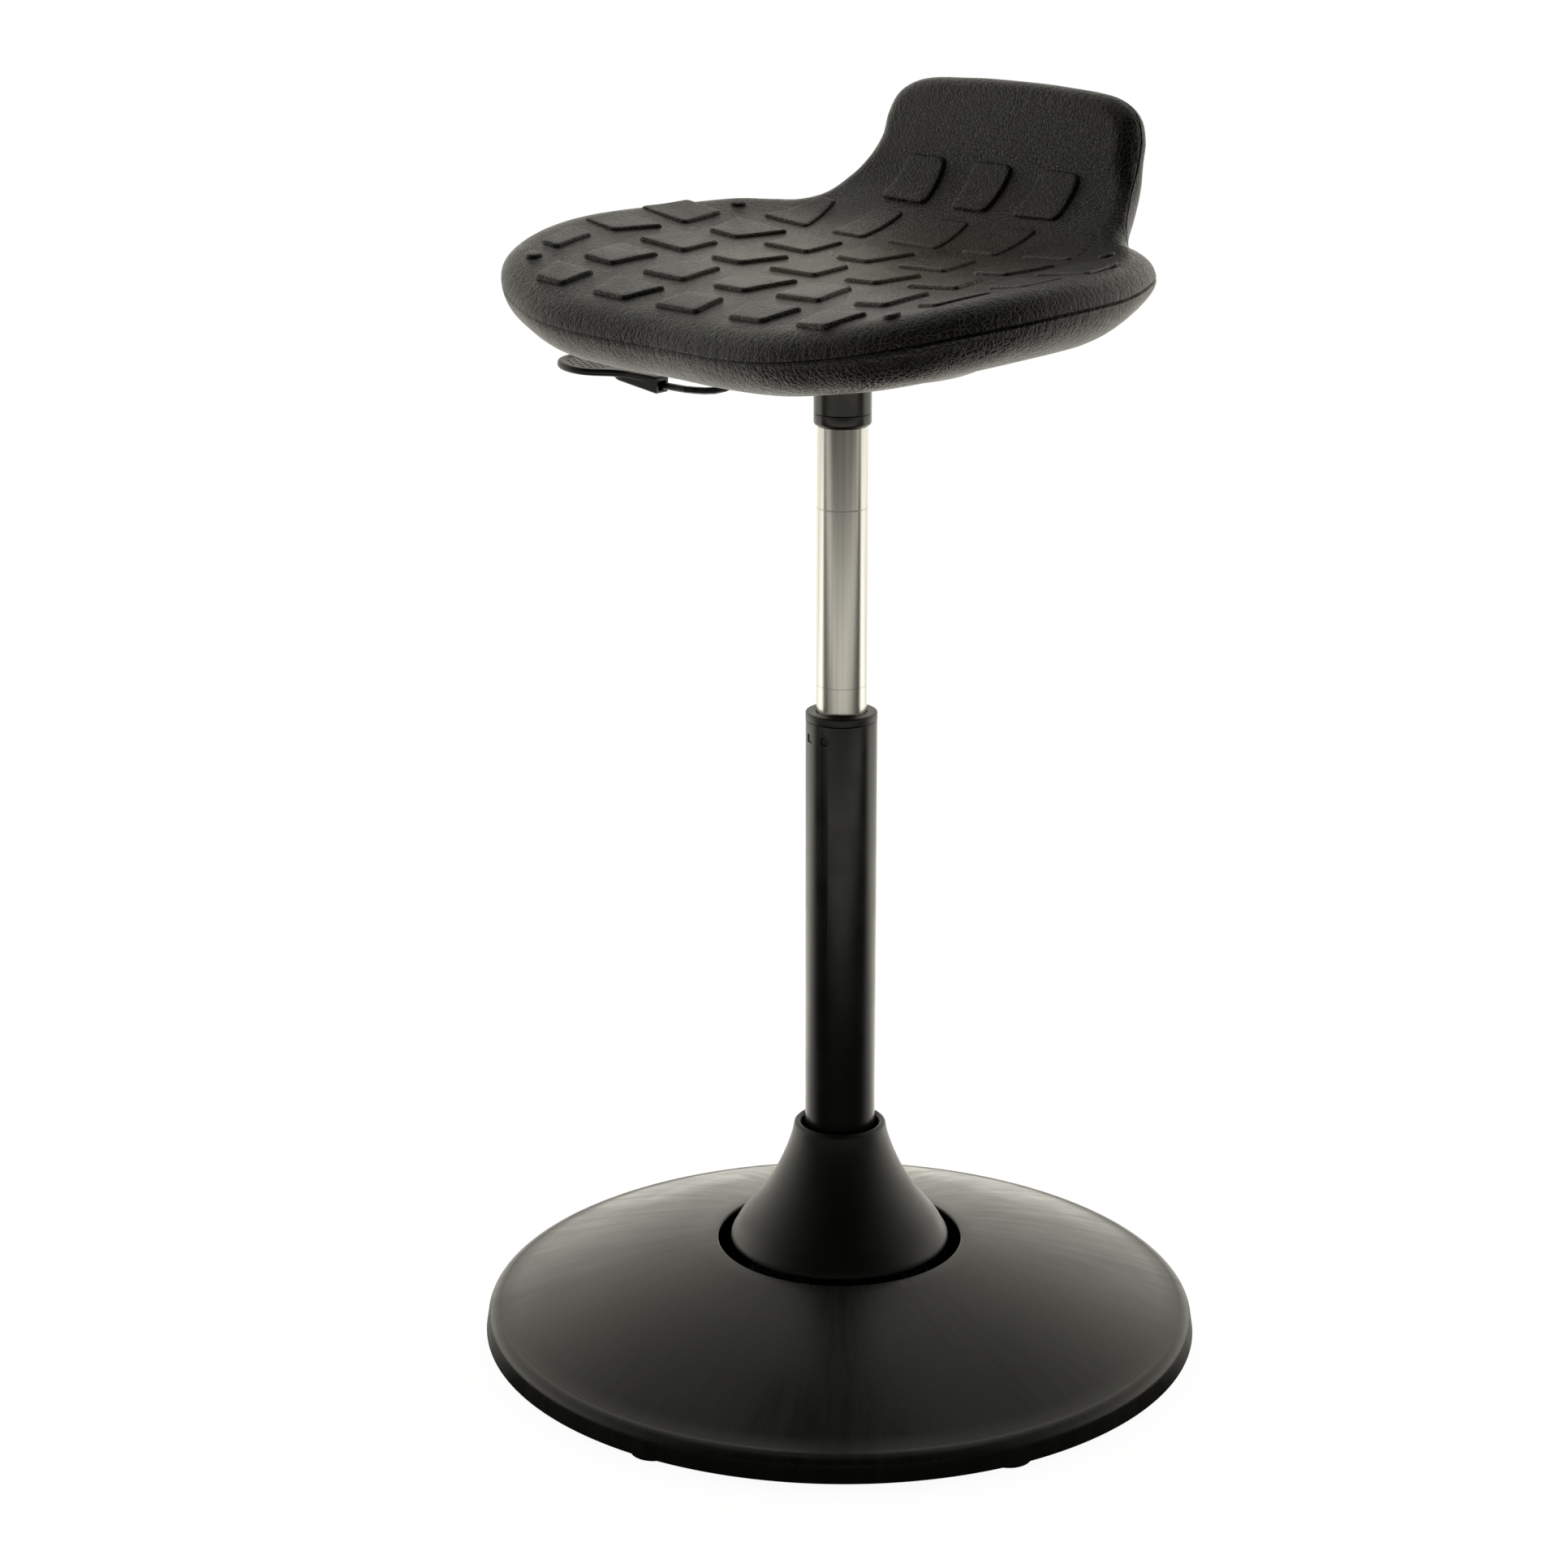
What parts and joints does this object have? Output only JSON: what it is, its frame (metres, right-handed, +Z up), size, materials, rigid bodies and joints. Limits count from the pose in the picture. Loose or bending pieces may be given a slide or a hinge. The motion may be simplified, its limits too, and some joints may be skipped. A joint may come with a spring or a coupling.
{
  "type": "perch stool",
  "caption": "Perch stool with a studded saddle seat and raised rear lip on a gas column that swivels and leans in a round weighted base.",
  "frame": {"origin": "centre of the base on the floor", "axes": "+Z up along the column, -Y towards the front of the seat, -X towards the release handle"},
  "size_m": [0.5164, 0.5164, 0.8877],
  "materials": {
    "textured_paint": "matt fine texture powder coat",
    "gloss_paint": "semi gloss powder coat",
    "polished_steel": "ground and polished",
    "plain_steel": "zinc plated",
    "cast_iron": "as cast, painted",
    "rubber": "moulded",
    "black_plastic": "satin moulded",
    "foam_skin": "self-skinned foam with a fine leather grain",
    "plywood": "raw beech plywood"
  },
  "bodies": {
    "base": {"base_shell": "textured_paint", "ballast_plate": "cast_iron", "glide_1": "rubber", "glide_2": "rubber", "glide_3": "rubber", "glide_4": "rubber", "glide_5": "rubber", "glide_6": "rubber", "joint_cup": "plain_steel", "cup_bolt_1": "plain_steel", "cup_bolt_2": "plain_steel", "cup_bolt_3": "plain_steel", "cup_bolt_4": "plain_steel"},
    "rocker": {"inner_rubber": "rubber", "interleaf_ring": "plain_steel", "outer_rubber": "rubber"},
    "column": {"ball_sleeve": "plain_steel", "outer_tube": "gloss_paint", "guide_bush": "black_plastic", "tube_floor": "plain_steel", "lower_race": "plain_steel", "hub_cover": "black_plastic"},
    "spindle": {"piston_rod": "polished_steel", "piston": "black_plastic", "rod_clip": "plain_steel", "upper_race": "plain_steel", "ball_cage": "plain_steel", "bearing_ball_1": "polished_steel", "bearing_ball_2": "polished_steel", "bearing_ball_3": "polished_steel", "bearing_ball_4": "polished_steel", "bearing_ball_5": "polished_steel", "bearing_ball_6": "polished_steel", "bearing_ball_7": "polished_steel", "bearing_ball_8": "polished_steel", "rubber_buffer": "rubber"},
    "seat": {"gas_cylinder": "polished_steel", "cylinder_cap": "black_plastic", "taper_socket": "gloss_paint", "channel_plate": "textured_paint", "plate_bolt_1": "plain_steel", "plate_bolt_2": "plain_steel", "plate_bolt_3": "plain_steel", "plate_bolt_4": "plain_steel", "seat_board": "plywood", "pivot_bracket": "plain_steel", "pivot_pin": "plain_steel", "seat_foam": "foam_skin"},
    "lever": {"release_rod": "plain_steel", "release_handle": "black_plastic"},
    "valve": {"valve_pin": "polished_steel"}
  },
  "joints": [
    {"name": "lean_sideways", "type": "hinge", "parent": "base", "child": "rocker", "pos_m": [0, 0, 0.04], "axis": [0, 1, 0], "range_deg": [-7, 7], "stiffness_Nm_per_rad": 600},
    {"name": "lean_forward", "type": "hinge", "parent": "rocker", "child": "column", "pos_m": [0, 0, 0.04], "axis": [1, 0, 0], "range_deg": [-7, 7], "stiffness_Nm_per_rad": 600},
    {"name": "swivel", "type": "hinge", "parent": "column", "child": "spindle", "pos_m": [0, 0, 0.04], "axis": [0, 0, 1], "continuous": true},
    {"name": "height", "type": "slide", "parent": "spindle", "child": "seat", "axis": [0, 0, 1], "range_m": [-0.2, 0]},
    {"name": "lever_pull", "type": "hinge", "parent": "seat", "child": "lever", "pos_m": [-0.028, 0, 0.7416], "axis": [0, 1, 0], "range_deg": [0, 6], "stiffness_Nm_per_rad": 0.6},
    {"name": "valve_press", "type": "slide", "parent": "seat", "child": "valve", "axis": [0, 0, -1], "range_m": [0, 0.0037]}
  ],
  "couplings": [
    {"joint": "valve_press", "follows": "lever_pull", "m_per_rad": 0.034}
  ]
}
